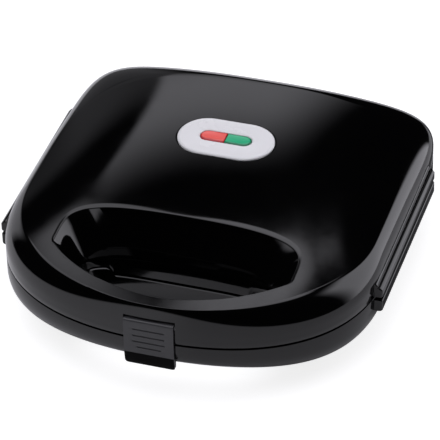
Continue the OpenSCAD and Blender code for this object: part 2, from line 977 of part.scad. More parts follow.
module lamp_holder() {
    w = 2 * (pill_half + 2 * holder_t);
    d = 2 * (pill_r + 2 * holder_t);
    h = bezel_z - holder_floor - holder_drop;
    color([0.85, 0.85, 0.82]) placed() translate([0, bezel_y, holder_floor])
        difference() {
            linear_extrude(h) rounded(w, d, 2.5);
            translate([0, 0, holder_t]) linear_extrude(h)
                difference() {
                    rounded(w - 2 * holder_t, d - 2 * holder_t, 1.2);
                    square([1.2, d], center = true);
                }
        }
}

// ---- latch ----

module latch_pin() {
    color(steel) placed() translate([0, latch_y, latch_pivot_z])
        along_x(latch_pin_r, 2 * (recess_half + cheek_t - 1) - 0.2);
}

// side view of the clip: its plate, the bead round the pin and the hook
module latch_side_view() {
    f = -latch_out;
    z = split_z;
    translate([latch_y, latch_pivot_z]) circle(r = latch_head_r);
    polygon([
        [f, z - 9.2],
        [f + 0.2, z - 12.5],
        [f + 0.6, z - 15.5],
        [f + 1.3, z - 17.6],
        [f + 2.1, hook_z],
        [f + 2.9, hook_z + 0.1],
        [f + 3.4, hook_z + 1],
        [f + 3.5, catch_z - 0.6],
        [f + 3.1, catch_z - 0.5],
        [f + 2, catch_z - 0.5],
        [f + 2, latch_pivot_z],
        [latch_y, latch_pivot_z + latch_head_r],
        [latch_y - 1.2, latch_top],
        [f + 0.9, latch_top],
        [f + 0.25, latch_top - 0.6],
        [f, latch_top - 1.6]
    ]);
}

// front view of the clip, square at the top and rounded at its lower corners
module latch_front_view() {
    r = latch_corner_r;
    hull() {
        for (i = [-1, 1])
            translate([i * (latch_w / 2 - r), hook_z - latch_side + r]) circle(r = r);
        translate([-latch_w / 2 - over, latch_pivot_z])
            square([latch_w + 2 * over, latch_top + latch_head_r - latch_pivot_z]);
    }
}

module latch_clip() {
    groove = [19, over + 0.4, 1.1];
    last_groove_w = 14.4;
    groove_pitch = 4.2;
    groove_z = latch_top - 6;
    color(dark_grey) placed()
    difference() {
        intersection() {
            translate([-latch_w / 2, 0, 0])
                rotate([90, 0, 90])
                    linear_extrude(latch_w) latch_side_view();
            translate([0, recess_y, 0])
                rotate([90, 0, 0])
                    linear_extrude(recess_y + 2 * latch_out) latch_front_view();
        }
        translate([0, latch_y, latch_pivot_z]) along_x(latch_pin_r + run_fit, latch_w + 2 * over);
        // finger grip: shallow grooves, the lowest one shorter
        for (k = [0:3])
            let (w = k < 3 ? groove[0] : last_groove_w)
            translate([-w / 2, -latch_out - over, groove_z - groove_pitch * k - groove[2] / 2])
                cube([w, groove[1], groove[2]]);
    }
}

base_shell();
base_deck();
lower_plate();
lower_plate_screws();
lower_element();
lower_clamps();
lower_clamp_screws();
lower_shield();
thermostat();
thermal_fuse();
terminal_block();
base_deck_screws();
cord_gland();
rubber_feet();
hinge_pins();
lid_shell();
lid_deck();
upper_plate();
upper_plate_screws();
upper_element();
upper_clamps();
upper_clamp_screws();
upper_shield();
lid_deck_screws();
indicator_bezel();
red_lens();
green_lens();
red_lamp();
green_lamp();
lamp_holder();
latch_pin();
latch_clip();
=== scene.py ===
"""Looks of the sandwich toaster: shells, rails, latch clip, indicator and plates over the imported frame.

Sizes are in millimetres, in the part's own plan: x to the right, y back from the front of the body, z up.
to_frame() turns them into metres about the frame's origin.
"""
from collections import namedtuple
from math import acos, atan2, cos, pi, radians, sin, sqrt

import bpy
import numpy as np
from mathutils import Matrix, Vector


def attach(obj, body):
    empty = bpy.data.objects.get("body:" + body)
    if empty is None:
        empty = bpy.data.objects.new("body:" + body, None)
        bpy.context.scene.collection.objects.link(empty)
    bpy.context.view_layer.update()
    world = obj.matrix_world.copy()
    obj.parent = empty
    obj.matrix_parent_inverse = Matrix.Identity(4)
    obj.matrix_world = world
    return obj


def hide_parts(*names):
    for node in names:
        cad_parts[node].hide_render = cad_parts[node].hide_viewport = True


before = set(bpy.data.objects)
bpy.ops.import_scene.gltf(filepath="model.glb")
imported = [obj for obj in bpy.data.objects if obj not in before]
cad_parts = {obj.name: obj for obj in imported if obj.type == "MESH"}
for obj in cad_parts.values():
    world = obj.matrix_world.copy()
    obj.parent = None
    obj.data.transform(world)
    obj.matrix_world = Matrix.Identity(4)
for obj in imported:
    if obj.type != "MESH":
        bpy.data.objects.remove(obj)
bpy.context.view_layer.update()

MM = 0.001

# ---------------------------------------------------------------- sizes, as in the part's source
BODY_W, BODY_D, SPLIT = 225.0, 238.0, 40.0              # split: height of the parting plane
SKIN, GAP = 2.5, 1.0                                    # wall of the shells, gap between them
LID_Z, RIM_Z = SPLIT + GAP / 2, SPLIT - GAP / 2         # lower edge of the lid, upper edge of the base
EDGE, EDGE_MID = 0.5, 0.15                              # rounding of these edges, and its middle point

# domed top: height at the front, rise to the crown, height at the sides, place of the crown, side curve
FRONT_Z, RISE, SIDE_Z, CROWN_AT, CROWN_POWER = 63.5, 14.6, 61.0, 140.0, 2.4

# outlines seen from above: half width, y of the widest place, reach forwards and backwards, curve powers
Outline = namedtuple("Outline", "half centre front rear front_power rear_power")
WIDEST = 91.0
WALL = Outline(BODY_W / 2, WIDEST, WIDEST, BODY_D - WIDEST, 2.3, 9.0)
CREST_IN, CREST_WIDEST, CREST_FRONT, CREST_REAR = 7.3, 98.4, 2.3, 22.0
CREST = Outline(BODY_W / 2 - CREST_IN, CREST_WIDEST, CREST_WIDEST - CREST_FRONT,
                BODY_D - CREST_REAR - CREST_WIDEST, 2.08, 3.8)

# rolled shoulder between the wall and the crest, with the angle at which it meets the top
CREST_Z, CREST_BEND = SPLIT + 7, radians(62)

# skirt of the base: straight height at the front and at the sides, then an arc
SKIRT_FRONT, SKIRT_SIDE, SKIRT_R, SKIRT_BEND = 4.0, 10.0, 16.0, radians(62)
UNDER_Z = RIM_Z - SKIRT_FRONT - SKIRT_R * sin(SKIRT_BEND)
UNDER_R = 2.4                                           # rounding of the hand opening at the underside

# hand opening: half width and rear edge at the top, lean of its wall, centre, and depth of the bar in front;
# then its outline at the top, at the parting plane and at the underside
GRIP_HALF, GRIP_REAR, GRIP_LEAN, GRIP_CENTRE, GRIP_BAR = 70.7, 73.2, 14.7, 42.3, 9.5
GRIP_SHIFT, GRIP_FRONT_LEAN = 4.3, 9.8
GRIP_TOP = Outline(GRIP_HALF, GRIP_CENTRE, GRIP_CENTRE - GRIP_BAR, GRIP_REAR - GRIP_CENTRE, 1.65, 4.83)
GRIP_MID = Outline(GRIP_HALF - GRIP_LEAN, GRIP_CENTRE - GRIP_SHIFT, GRIP_CENTRE - GRIP_BAR - GRIP_FRONT_LEAN,
                   GRIP_REAR - GRIP_LEAN - GRIP_CENTRE + GRIP_SHIFT, 1.8, 4.6)
GRIP_LOW_LESS = Outline(3.5, 1, 4, 2.5, 0, 0)           # how much smaller it is at the underside
GRIP_LOW = Outline(*(mid - less for mid, less in zip(GRIP_MID, GRIP_LOW_LESS)))
RIM_R, LIP_IN = 0.9, 0.4                                # rounding of its rim, and of its wall at the parting
FLARE_AT, FLARE_SOFT = 0.26, 0.12                       # where its wall starts to lean, and how softly
STEP_HALF, STEP_H, STEP_SLOPE, STEP_REAR = 42.0, 4.0, 1.2, 20.0     # step in its rear wall

# inside of the lid's top: how far its crest and its edge round the opening lie from the outer ones
INNER_CREST, INNER_GRIP, INNER_RIM, INNER_DROP = 1.5, 4.2, 3.6, 2.2

# rear hinge
HINGE_X, HINGE_Y, KNUCKLE = 58.0, BODY_D + 4.6, 4.0
LID_KNUCKLE_W, BASE_KNUCKLE_W, BASE_KNUCKLE_X = 15.0, 4.2, 10.0

# latch clip, its pivot and the recess that it hangs in
LATCH_OUT, LATCH_HALF, LATCH_CORNER = 1.5, 14.8, 2.5
LIP_Z = SPLIT - 9.4                                     # below it the clip is nearly black: painted shade for the shadow under the body that its lip reflects
LATCH_TOP, PIVOT_Y, PIVOT_Z, BARREL_R = SPLIT + 13.9, 2.3, SPLIT + 10.6, 3.0
RECESS_HALF, RECESS_Y, RECESS_TOP = LATCH_HALF + 0.5, PIVOT_Y + BARREL_R + 0.5, LATCH_TOP + 1.6
POST_W, LID_POST_Y, BASE_POST_Y = 3.6, 3, 3.2           # posts beside the recess
POST_LOW, CATCH_LOW, CATCH_HIGH = SPLIT - 13, SPLIT - 12.1, SPLIT - 8.7     # bar that the hook grips

# indicator: bezel, the groove round it, and the pill of the two lenses
BEZEL_W, BEZEL_D, BEZEL_T, BEZEL_GAP, BEZEL_SUNK = 58.8, 36.0, 2.1, 1.0, 1.5
BEZEL_Y, BEZEL_Z = 147.3, FRONT_Z + RISE - BEZEL_SUNK
BEZEL_TOP = BEZEL_Z + BEZEL_T
PILL_HALF, PILL_R, LENS_GAP = 15.9, 5.0, 0.25

# side rails: start, length, outer face, lower and upper edge, opening between the two, rounding of the ends
RAIL_Y, RAIL_L, RAIL_X, RAIL_ROOT = 72.5, 120.0, BODY_W / 2 + 3.7, BODY_W / 2 - 1.9
RAIL_LOW, RAIL_HIGH, RAIL_OPEN, RAIL_END = SPLIT - 9.4, SPLIT + 5.3, 1.5, 1.2
RAIL_EDGE, RAIL_ROUND = 0.4, 1.0

# cooking plates: outline, flange, height of the face, and the two cells with their pockets
PLATE_W, PLATE_D, PLATE_R, PLATE_AHEAD, FLANGE_T = 206.0, 138.0, 12.0, 3.2, 2.2
PLATE_CENTRE = GRIP_REAR - PLATE_AHEAD + PLATE_D / 2
FACE_Z, POCKET_H, POCKET_SLOPE, PLATE_T = SPLIT - 0.3, 11.0, 11.5, 2.5
CELL_IN, RIDGE, POCKET_ROUND = 4.0, 3.6, 3.2
PLATE_EDGE, PLATE_EDGE_DROP, PLATE_STEP = 0.9, 0.5, 1.0

# pan of the base, from the standing height to the skirt
PAN_FRONT, PAN_REAR, PAN_IN, PAN_POWER = GRIP_REAR - GRIP_LEAN + 3, BODY_D - 14, 11.5, 4.6
PAN_LOW, PAN_R, PAN_LEAN = 6, 3, 9
PAN_REACH = (PAN_REAR - PAN_FRONT) / 2
PAN = Outline(BODY_W / 2 - PAN_IN, (PAN_FRONT + PAN_REAR) / 2, PAN_REACH, PAN_REACH, PAN_POWER, PAN_POWER)

FRONT_Y = -(HINGE_Y + KNUCKLE - LATCH_OUT) / 2          # front of the body in the frame
PAST, OVER = 5, 0.1                                     # overrun of a cutting tool, overlap of joined parts


# ---------------------------------------------------------------- outlines and surfaces
def edge(outline, turn):
    """Points of a super-ellipse outline in the directions turn (radians)."""
    turn = np.asarray(turn, float)
    behind = np.sin(turn) > 0
    reach = np.where(behind, outline.rear, outline.front)
    power = np.where(behind, outline.rear_power, outline.front_power)
    across = (np.abs(np.cos(turn)) / outline.half) ** power
    along = (np.abs(np.sin(turn)) / reach) ** power
    radius = 1 / (across + along) ** (1 / power)
    return np.stack([radius * np.cos(turn), outline.centre + radius * np.sin(turn)], -1)


def inset(outline, by):
    return outline._replace(half=outline.half - by, front=outline.front - by, rear=outline.rear - by)


def top_z(points):
    """Height of the lid's domed top."""
    crown = FRONT_Z + RISE * np.sin(np.pi / 2 * points[..., 1] / CROWN_AT)
    return crown - (crown - SIDE_Z) * np.clip(np.abs(points[..., 0]) / CREST.half, 0, 1) ** CROWN_POWER


def at(points, z):
    """Plan points raised to the height z, one number or one for each point."""
    height = np.broadcast_to(np.asarray(z, float), points.shape[:-1])
    return np.concatenate([points, height[..., None]], -1)


def flare(share):
    """Share of the lean at a share of the wall's height: upright low down, then an even slope."""
    def hinge(q):
        return q - FLARE_AT + np.sqrt((q - FLARE_AT) ** 2 + FLARE_SOFT ** 2)
    return (hinge(share) - hinge(0.0)) / (hinge(1.0) - hinge(0.0))


def grip_at(turn, z, out):
    """Wall of the hand opening at the heights z, moved outwards by out."""
    rim_z = top_z(edge(GRIP_TOP, turn))
    mid = edge(inset(GRIP_MID, -out), turn)
    z = np.broadcast_to(np.asarray(z, float), turn.shape)
    up = flare(np.clip((z - SPLIT) / (rim_z - SPLIT), 0, 1))[:, None]
    down = ((SPLIT - z) / (SPLIT - UNDER_Z))[:, None]
    high = mid * (1 - up) + edge(inset(GRIP_TOP, -out), turn) * up
    low = mid * (1 - down) + edge(inset(GRIP_LOW, -out), turn) * down
    return np.where((z >= SPLIT)[:, None], high, low)


def shoulder(turn, share):
    """Rolled shoulder of the lid at a share of the way from the wall to the crest."""
    wall, crest = edge(WALL, turn), edge(CREST, turn)
    angle = acos(1 - share * (1 - cos(CREST_BEND)))
    return at(wall * (1 - share) + crest * share,
              CREST_Z + (top_z(crest) - CREST_Z) * sin(angle) / sin(CREST_BEND))


def step_at(turn):
    """Depth of the step in the rear wall of the hand opening, with a short slope at its ends."""
    sideways = np.abs(edge(GRIP_MID, turn)[:, 0])
    share = np.clip((STEP_HALF + STEP_SLOPE - sideways) / (2 * STEP_SLOPE), 0, 1)
    return STEP_H * np.where(np.sin(turn) > 0, share, 0)


def stations(count=288, near=0.03, extra=9):
    """Directions round an outline: even steps, closer at the ends of the step in the hand opening."""
    even = np.linspace(0, 2 * pi, count + 1)[:-1]
    step_end = atan2(STEP_REAR, STEP_HALF)
    fine = np.concatenate([np.linspace(a - near, a + near, extra) for a in (step_end, pi - step_end)])
    return np.unique(np.round(np.concatenate([even, fine]), 5))


AROUND = stations()


# ---------------------------------------------------------------- mesh helpers
def to_frame(points):
    moved = np.asarray(points, float) * MM
    moved[..., 1] += FRONT_Y * MM
    return moved


def new_mesh(name, verts, faces, smooth=35, body=None, mat=None):
    mesh = bpy.data.meshes.new(name)
    mesh.from_pydata([tuple(v) for v in to_frame(verts)], [], [tuple(int(i) for i in f) for f in faces])
    mesh.validate()
    mesh.shade_smooth()
    mesh.set_sharp_from_angle(angle=radians(smooth))
    ob = bpy.data.objects.new(name, mesh)
    bpy.context.scene.collection.objects.link(ob)
    if mat:
        mesh.materials.append(mat)
    if body:
        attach(ob, body)
    return ob


def loft(rings):
    """Closed skin through rings that hold one point for every station; the last ring joins the first."""
    grid = np.stack(rings, 1)
    n, m = grid.shape[:2]
    faces = []
    for i in range(n):
        for j in range(m):
            i2, j2 = (i + 1) % n, (j + 1) % m
            faces.append((i2 * m + j, i2 * m + j2, i * m + j2, i * m + j))
    return grid.reshape(-1, 3), faces


def join(parts):
    verts, faces, count = [], [], 0
    for v, f in parts:
        verts.append(np.asarray(v, float))
        faces += [tuple(i + count for i in q) for q in f]
        count += len(v)
    return np.concatenate(verts), faces


def box(low, high):
    (x0, y0, z0), (x1, y1, z1) = low, high
    verts = [(x0, y0, z0), (x1, y0, z0), (x1, y1, z0), (x0, y1, z0),
             (x0, y0, z1), (x1, y0, z1), (x1, y1, z1), (x0, y1, z1)]
    faces = [(0, 3, 2, 1), (4, 5, 6, 7), (0, 1, 5, 4), (1, 2, 6, 5), (2, 3, 7, 6), (3, 0, 4, 7)]
    return np.array(verts, float), faces


def stack(rings):
    """Solid through rings of the same length, lowest first, closed by flat caps."""
    n, m = len(rings[0]), len(rings)
    faces = [tuple(range(n - 1, -1, -1)), tuple(range((m - 1) * n, m * n))]
    for k in range(m - 1):
        faces += [(k * n + i, k * n + (i + 1) % n, (k + 1) * n + (i + 1) % n, (k + 1) * n + i)
                  for i in range(n)]
    return np.concatenate(rings), faces


def prism(outline, z0, z1):
    return stack([at(outline, z0), at(outline, z1)])


def oval(width, depth, y, points=40):
    """Outline with two round ends, points on each, about the place y."""
    r, c = depth / 2, (width - depth) / 2
    a = np.linspace(-pi / 2, pi / 2, points)
    right = np.stack([c + r * np.cos(a), r * np.sin(a)], -1)
    return np.concatenate([right, -right]) + [0.0, y]


def mirrored(faces):
    return [q[::-1] for q in faces]


def cylinder_x(x0, x1, y, z, r, points=40, chamfer=0.3):
    """Cylinder along X with chamfered ends."""
    a = np.linspace(0, 2 * pi, points, endpoint=False)
    rings = []
    for x, q in ((x0, r - chamfer), (x0 + chamfer, r), (x1 - chamfer, r), (x1, r - chamfer)):
        rings.append(np.stack([np.full(points, x), y + q * np.cos(a), z + q * np.sin(a)], -1))
    return stack(rings)


def apply_modifiers(ob, smooth):
    bpy.context.view_layer.update()
    done = bpy.data.meshes.new_from_object(ob.evaluated_get(bpy.context.evaluated_depsgraph_get()))
    ob.modifiers.clear()
    ob.data = done
    done.shade_smooth()
    done.set_sharp_from_angle(angle=radians(smooth))


def cut(ob, tools):
    tool = new_mesh(ob.name + "_tool", *join(tools))
    mod = ob.modifiers.new("cut", "BOOLEAN")
    mod.operation, mod.solver, mod.object = "DIFFERENCE", "EXACT", tool
    apply_modifiers(ob, 28)
    bpy.data.objects.remove(tool)


def bevel(ob, width, segments, angle):
    mod = ob.modifiers.new("bevel", "BEVEL")
    mod.width, mod.segments, mod.limit_method = width * MM, segments, "ANGLE"
    mod.angle_limit = radians(angle)
    mod.harden_normals = False
    mod.miter_outer = "MITER_ARC"
    apply_modifiers(ob, 40)


# ---------------------------------------------------------------- materials
def material(name):
    mat = bpy.data.materials.new(name)
    mat.use_nodes = True
    tree = mat.node_tree
    tree.nodes.clear()
    out = tree.nodes.new("ShaderNodeOutputMaterial")
    surface = tree.nodes.new("ShaderNodeBsdfPrincipled")
    tree.links.new(surface.outputs[0], out.inputs[0])
    return mat, tree, surface


def noise(tree, scale, detail=3.0, rough=0.5, stretch=(1, 1, 1)):
    place = tree.nodes.new("ShaderNodeTexCoord")
    mapping = tree.nodes.new("ShaderNodeMapping")
    mapping.inputs["Scale"].default_value = stretch
    node = tree.nodes.new("ShaderNodeTexNoise")
    node.inputs["Scale"].default_value = scale
    node.inputs["Detail"].default_value = detail
    node.inputs["Roughness"].default_value = rough
    tree.links.new(place.outputs["Object"], mapping.inputs[0])
    tree.links.new(mapping.outputs[0], node.inputs["Vector"])
    return node.outputs["Fac"]


def spread(tree, value, low, high, start=0.3, end=0.7):
    """low where value is start, high where it is end, even between."""
    node = tree.nodes.new("ShaderNodeMapRange")
    node.inputs["From Min"].default_value, node.inputs["From Max"].default_value = start, end
    node.inputs["To Min"].default_value, node.inputs["To Max"].default_value = low, high
    tree.links.new(value, node.inputs["Value"])
    return node.outputs["Result"]


def tint(tree, value, low, high):
    """Colour low where value is 0.3 or less, high where it is 0.7 or more."""
    ramp = tree.nodes.new("ShaderNodeValToRGB")
    for stop, position, colour in zip(ramp.color_ramp.elements, (0.3, 0.7), (low, high)):
        stop.position = position
        stop.color = (*colour, 1)
    tree.links.new(value, ramp.inputs[0])
    return ramp.outputs[0]


def bump(tree, surface, value, distance, strength):
    node = tree.nodes.new("ShaderNodeBump")
    node.inputs["Strength"].default_value = strength
    node.inputs["Distance"].default_value = distance
    tree.links.new(value, node.inputs["Height"])
    tree.links.new(node.outputs[0], surface.inputs["Normal"])


def plain(name, low, high, rough, grain, depth, metallic=0.0, ior=1.5, stretch=(1, 1, 1), strength=0.3,
          drift=9.0):
    """Moulded or cast surface: slow colour drift, roughness that varies, and a fine grain in the bump."""
    mat, tree, surface = material(name)
    tree.links.new(tint(tree, noise(tree, drift, 4), low, high), surface.inputs["Base Color"])
    tree.links.new(spread(tree, noise(tree, drift * 6, 5, 0.6), *rough), surface.inputs["Roughness"])
    surface.inputs["Metallic"].default_value = metallic
    surface.inputs["IOR"].default_value = ior
    bump(tree, surface, noise(tree, grain, 4.0, 0.55, stretch), depth, strength)
    return mat


def lens(name, shaded_rim_colour, highlit_dome_colour):
    """Translucent cap: deep colour at its rim as painted shade, paler on the dome as a painted highlight."""
    mat, tree, surface = material(name)
    place = tree.nodes.new("ShaderNodeTexCoord")
    xyz = tree.nodes.new("ShaderNodeSeparateXYZ")
    tree.links.new(place.outputs["Object"], xyz.inputs[0])
    # heights over which the painted shade at the rim turns into the painted highlight on the dome
    rim, dome = (BEZEL_TOP - 0.15) * MM, (BEZEL_TOP + 0.3) * MM
    height = spread(tree, xyz.outputs[2], 0.0, 1.0, rim, dome)
    tree.links.new(tint(tree, height, shaded_rim_colour, highlit_dome_colour), surface.inputs["Base Color"])
    tree.links.new(spread(tree, noise(tree, 300, 4), 0.1, 0.18), surface.inputs["Roughness"])
    return mat


# name, darker and paler colour, least and most roughness, scale and depth (m) of the grain
gloss = plain("gloss_black", (0.0005, 0.0005, 0.0006), (0.001, 0.001, 0.0011), (0.05, 0.09), 55, 0.00002,
              strength=0.12)
satin = plain("satin_black", (0.018, 0.018, 0.019), (0.026, 0.026, 0.028), (0.38, 0.5), 2600, 0.00004)
latch_mat = plain("latch_plastic", (0.03, 0.03, 0.033), (0.038, 0.038, 0.041), (0.3, 0.42), 1800, 0.00003)
# painted shade: near black and barely reflecting, for the clip's lip and the groove round the bezel
painted_shade_mat = plain("painted_shade_black", (0.002, 0.002, 0.0022), (0.004, 0.004, 0.0042), (0.4, 0.5), 1800, 0.00003,
                ior=1.1)
coat = plain("non_stick", (0.028, 0.028, 0.03), (0.045, 0.045, 0.047), (0.28, 0.42), 1500, 0.00005)
silver = plain("silver_lacquer", (0.8, 0.8, 0.805), (0.86, 0.86, 0.865), (0.2, 0.3), 3200, 0.00001)
steel = plain("zinc_steel", (0.5, 0.5, 0.52), (0.62, 0.62, 0.63), (0.25, 0.45), 900, 0.00002, metallic=1.0)
sheet = plain("bright_sheet", (0.62, 0.62, 0.63), (0.74, 0.74, 0.75), (0.28, 0.42), 700, 0.00002,
              metallic=1.0, stretch=(1, 12, 12))
tube = plain("element_tube", (0.16, 0.155, 0.15), (0.26, 0.25, 0.24), (0.4, 0.6), 900, 0.00004, metallic=0.8)
rubber = plain("rubber", (0.016, 0.016, 0.016), (0.024, 0.024, 0.024), (0.7, 0.85), 2200, 0.00006)
ceramic = plain("pale_moulding", (0.62, 0.6, 0.55), (0.7, 0.68, 0.63), (0.45, 0.6), 1500, 0.00003)
# lenses: a deep colour at the rim as painted shade, a paler one on the dome as a painted highlight
red = lens("red_lens", (0.45, 0.01, 0.015), (0.93, 0.15, 0.13))
green = lens("green_lens", (0.002, 0.16, 0.07), (0.04, 0.47, 0.23))
glass_lamp = plain("lamp_glass", (0.75, 0.62, 0.56), (0.8, 0.68, 0.6), (0.05, 0.12), 500, 0.00001)

# the pieces that keep their solids; the rest of them are steel
NODE_MATERIAL = {
    "base_deck": satin, "lid_deck": satin, "cord_gland": rubber, "rubber_feet": rubber,
    "lower_shield": sheet, "upper_shield": sheet, "thermal_fuse": sheet,
    "lower_element": tube, "upper_element": tube,
    "thermostat": ceramic, "terminal_block": ceramic, "lamp_holder": ceramic,
    "red_lamp": glass_lamp, "green_lamp": glass_lamp,
}
for name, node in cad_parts.items():
    mat = NODE_MATERIAL.get(name, steel)
    for ob in (node if isinstance(node, (list, tuple)) else [node]):
        if ob.material_slots:
            for slot in ob.material_slots:
                slot.material = mat
        else:
            ob.data.materials.append(mat)


# ---------------------------------------------------------------- side rails, recess and hinge knuckles
def rail_part(section):
    """Side rail with the given section and softly rounded ends, both sides."""
    section = np.array(section, float)
    outer = section[:, 0] > section[:, 0].min()
    ends = [(RAIL_END * (1 - cos(a)), RAIL_END * (1 - sin(a))) for a in np.linspace(0, pi / 2, 7)]
    along = [(RAIL_Y + d, k) for d, k in ends] + [(RAIL_Y + RAIL_L - d, k) for d, k in ends[::-1]]
    parts = []
    for side in (1, -1):
        rings = []
        for y, k in along:
            x = np.where(outer, section[:, 0] - k, section[:, 0])
            rings.append(np.stack([side * x, np.full(len(x), y), section[:, 1]], -1))
        v, f = stack(rings)
        parts.append((v, f if side > 0 else mirrored(f)))
    return parts


def base_rail_section():
    """Square at the parting gap, rounded below."""
    r, flat = RAIL_ROUND, RIM_Z - RAIL_OPEN
    arc = [(RAIL_X - r + r * cos(a), RAIL_LOW + r - r * sin(a)) for a in np.linspace(pi / 2, 0, 7)]
    return [(RAIL_ROOT, RAIL_LOW)] + arc + [(RAIL_X, flat - RAIL_EDGE), (RAIL_X - RAIL_EDGE, flat),
                                            (RAIL_ROOT, flat)]


def lid_rail_section():
    """Outer face, a sloping edge, a groove, then a slope up to the shoulder, as (inwards, upwards)."""
    top = ((0, -0.2), (0.12, 0.1), (1.6, 1.7), (1.8, 1.75), (1.9, 1.2), (2.6, 1.2), (2.7, 2.2), (4.0, 3.9))
    return ([(RAIL_ROOT, LID_Z), (RAIL_X - RAIL_EDGE, LID_Z), (RAIL_X, LID_Z + RAIL_EDGE)]
            + [(RAIL_X - inwards, RAIL_HIGH + up) for inwards, up in top]
            + [(RAIL_ROOT, RAIL_HIGH + top[-1][1])])


def recess_parts(post_y, low, wall_top, post_top):
    """Wall behind the latch's recess, with a post on each side."""
    side = RECESS_HALF + POST_W
    return [box((-side, RECESS_Y, low), (side, RECESS_Y + SKIN, wall_top)),
            box((-side, post_y, low), (-RECESS_HALF, RECESS_Y + OVER, post_top)),
            box((RECESS_HALF, post_y, low), (side, RECESS_Y + OVER, post_top))]


def knuckle_parts(width, offsets, up):
    """Barrels of the hinge with the arms that carry them: up is 1 on the lid and -1 on the base."""
    z = sorted((SPLIT + up * GAP / 2, SPLIT + up * (GAP / 2 + KNUCKLE * 0.8)))
    parts = []
    for side in (1, -1):
        for offset in offsets:
            x = side * HINGE_X + offset
            parts.append(cylinder_x(x - width / 2, x + width / 2, HINGE_Y, SPLIT, KNUCKLE))
            parts.append(box((x - width / 2 + OVER, BODY_D - SKIN, z[0]),
                             (x + width / 2 - OVER, HINGE_Y, z[1])))
    return parts


# ---------------------------------------------------------------- lid shell
def lid_mesh():
    """Up the outside, over the top, down the hand opening, and back on the inside."""
    def ring(outline, by, z):
        return at(edge(inset(outline, by), AROUND), z)

    def opening(z, out):
        return at(grip_at(AROUND, z, out), z)

    wall, crest = edge(WALL, AROUND), edge(CREST, AROUND)
    lip = LID_Z - step_at(AROUND)
    rings = [ring(WALL, EDGE, LID_Z), ring(WALL, EDGE_MID, LID_Z + EDGE_MID)]
    rings += [at(wall, z) for z in (LID_Z + EDGE, SPLIT + 4, CREST_Z)]

    steps = 18
    rings += [shoulder(AROUND, (1 - cos(CREST_BEND * k / steps)) / (1 - cos(CREST_BEND)))
              for k in range(1, steps)]
    rings.append(shoulder(AROUND, 0.985))

    rim = edge(inset(GRIP_TOP, -RIM_R), AROUND)
    length = np.linalg.norm(rim - crest, axis=1)[:, None]
    for reach, drop in ((0.18, 0.03), (0.7, 0.0)):      # softened crease at the crest
        p = crest + (rim - crest) * reach / length
        rings.append(at(p, top_z(p) - drop))
    for k in np.linspace(0, 1, 34)[1:-1]:
        p = crest * (1 - k) + rim * k
        rings.append(at(p, top_z(p)))

    rim_z, grip_z = top_z(rim), top_z(edge(GRIP_TOP, AROUND))
    for a in np.linspace(0, pi / 2, 6):
        rings.append(ring(GRIP_TOP, -RIM_R * (1 - sin(a)),
                          rim_z + (grip_z - rim_z) * sin(a) - RIM_R * (1 - cos(a))))
    for k in np.linspace(0, 1, 9)[1:-1]:
        rings.append(opening((grip_z - RIM_R) * (1 - k) + (lip + EDGE) * k, 0))
    rings += [opening(lip + EDGE, 0), opening(lip, LIP_IN), opening(lip, SKIN), opening(SPLIT + 12, SKIN)]

    inner_crest = edge(inset(CREST, INNER_CREST), AROUND)
    inner_grip = edge(inset(GRIP_TOP, -INNER_GRIP), AROUND)
    rings.append(ring(GRIP_TOP, -INNER_RIM, grip_z - INNER_DROP - SKIN))
    for k in (0.85, 0.6, 0.35, 0.12):
        p = inner_crest * (1 - k) + inner_grip * k
        rings.append(at(p, top_z(p) - SKIN))
    inner_wall, roof = edge(inset(WALL, SKIN), AROUND), top_z(crest) - SKIN
    rings += [at(inner_crest, roof),
              at(inner_wall * 0.65 + inner_crest * 0.35, CREST_Z + (roof - CREST_Z) * 0.72),
              at(inner_wall, CREST_Z), at(inner_wall, LID_Z)]
    return loft(rings)


lid = new_mesh("lid_cover", *lid_mesh(), mat=gloss)
cut(lid, [box((-RECESS_HALF, -PAST, SPLIT - PAST), (RECESS_HALF, RECESS_Y, RECESS_TOP)),
          prism(oval(BEZEL_W + 2 * BEZEL_GAP, BEZEL_D + 2 * BEZEL_GAP, BEZEL_Y), BEZEL_Z, BEZEL_Z + 8),
          prism(oval(2 * PILL_HALF + 0.3, 2 * PILL_R + 0.3, BEZEL_Y, 24), BEZEL_Z - 6, BEZEL_Z + 0.5)])
# painted shade: the groove round the bezel is matt and nearly black, for the shade in it
lid.data.materials.append(painted_shade_mat)
for face in lid.data.polygons:
    x = max(abs(face.center.x) / MM - (BEZEL_W - BEZEL_D) / 2, 0)
    y = face.center.y / MM - BEZEL_Y - FRONT_Y
    if BEZEL_Z - 3 < face.center.z / MM and sqrt(x ** 2 + y ** 2) < BEZEL_D / 2 + BEZEL_GAP + 0.05:
        face.material_index = 1
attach(lid, "lid")
lid_rails = new_mesh("lid_rails", *join(
    rail_part(lid_rail_section()) + knuckle_parts(LID_KNUCKLE_W, (0,), 1)
    + recess_parts(LID_POST_Y, LID_Z, RECESS_TOP + 2, RECESS_TOP + 1)), body="lid", mat=gloss)
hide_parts("lid_shell")


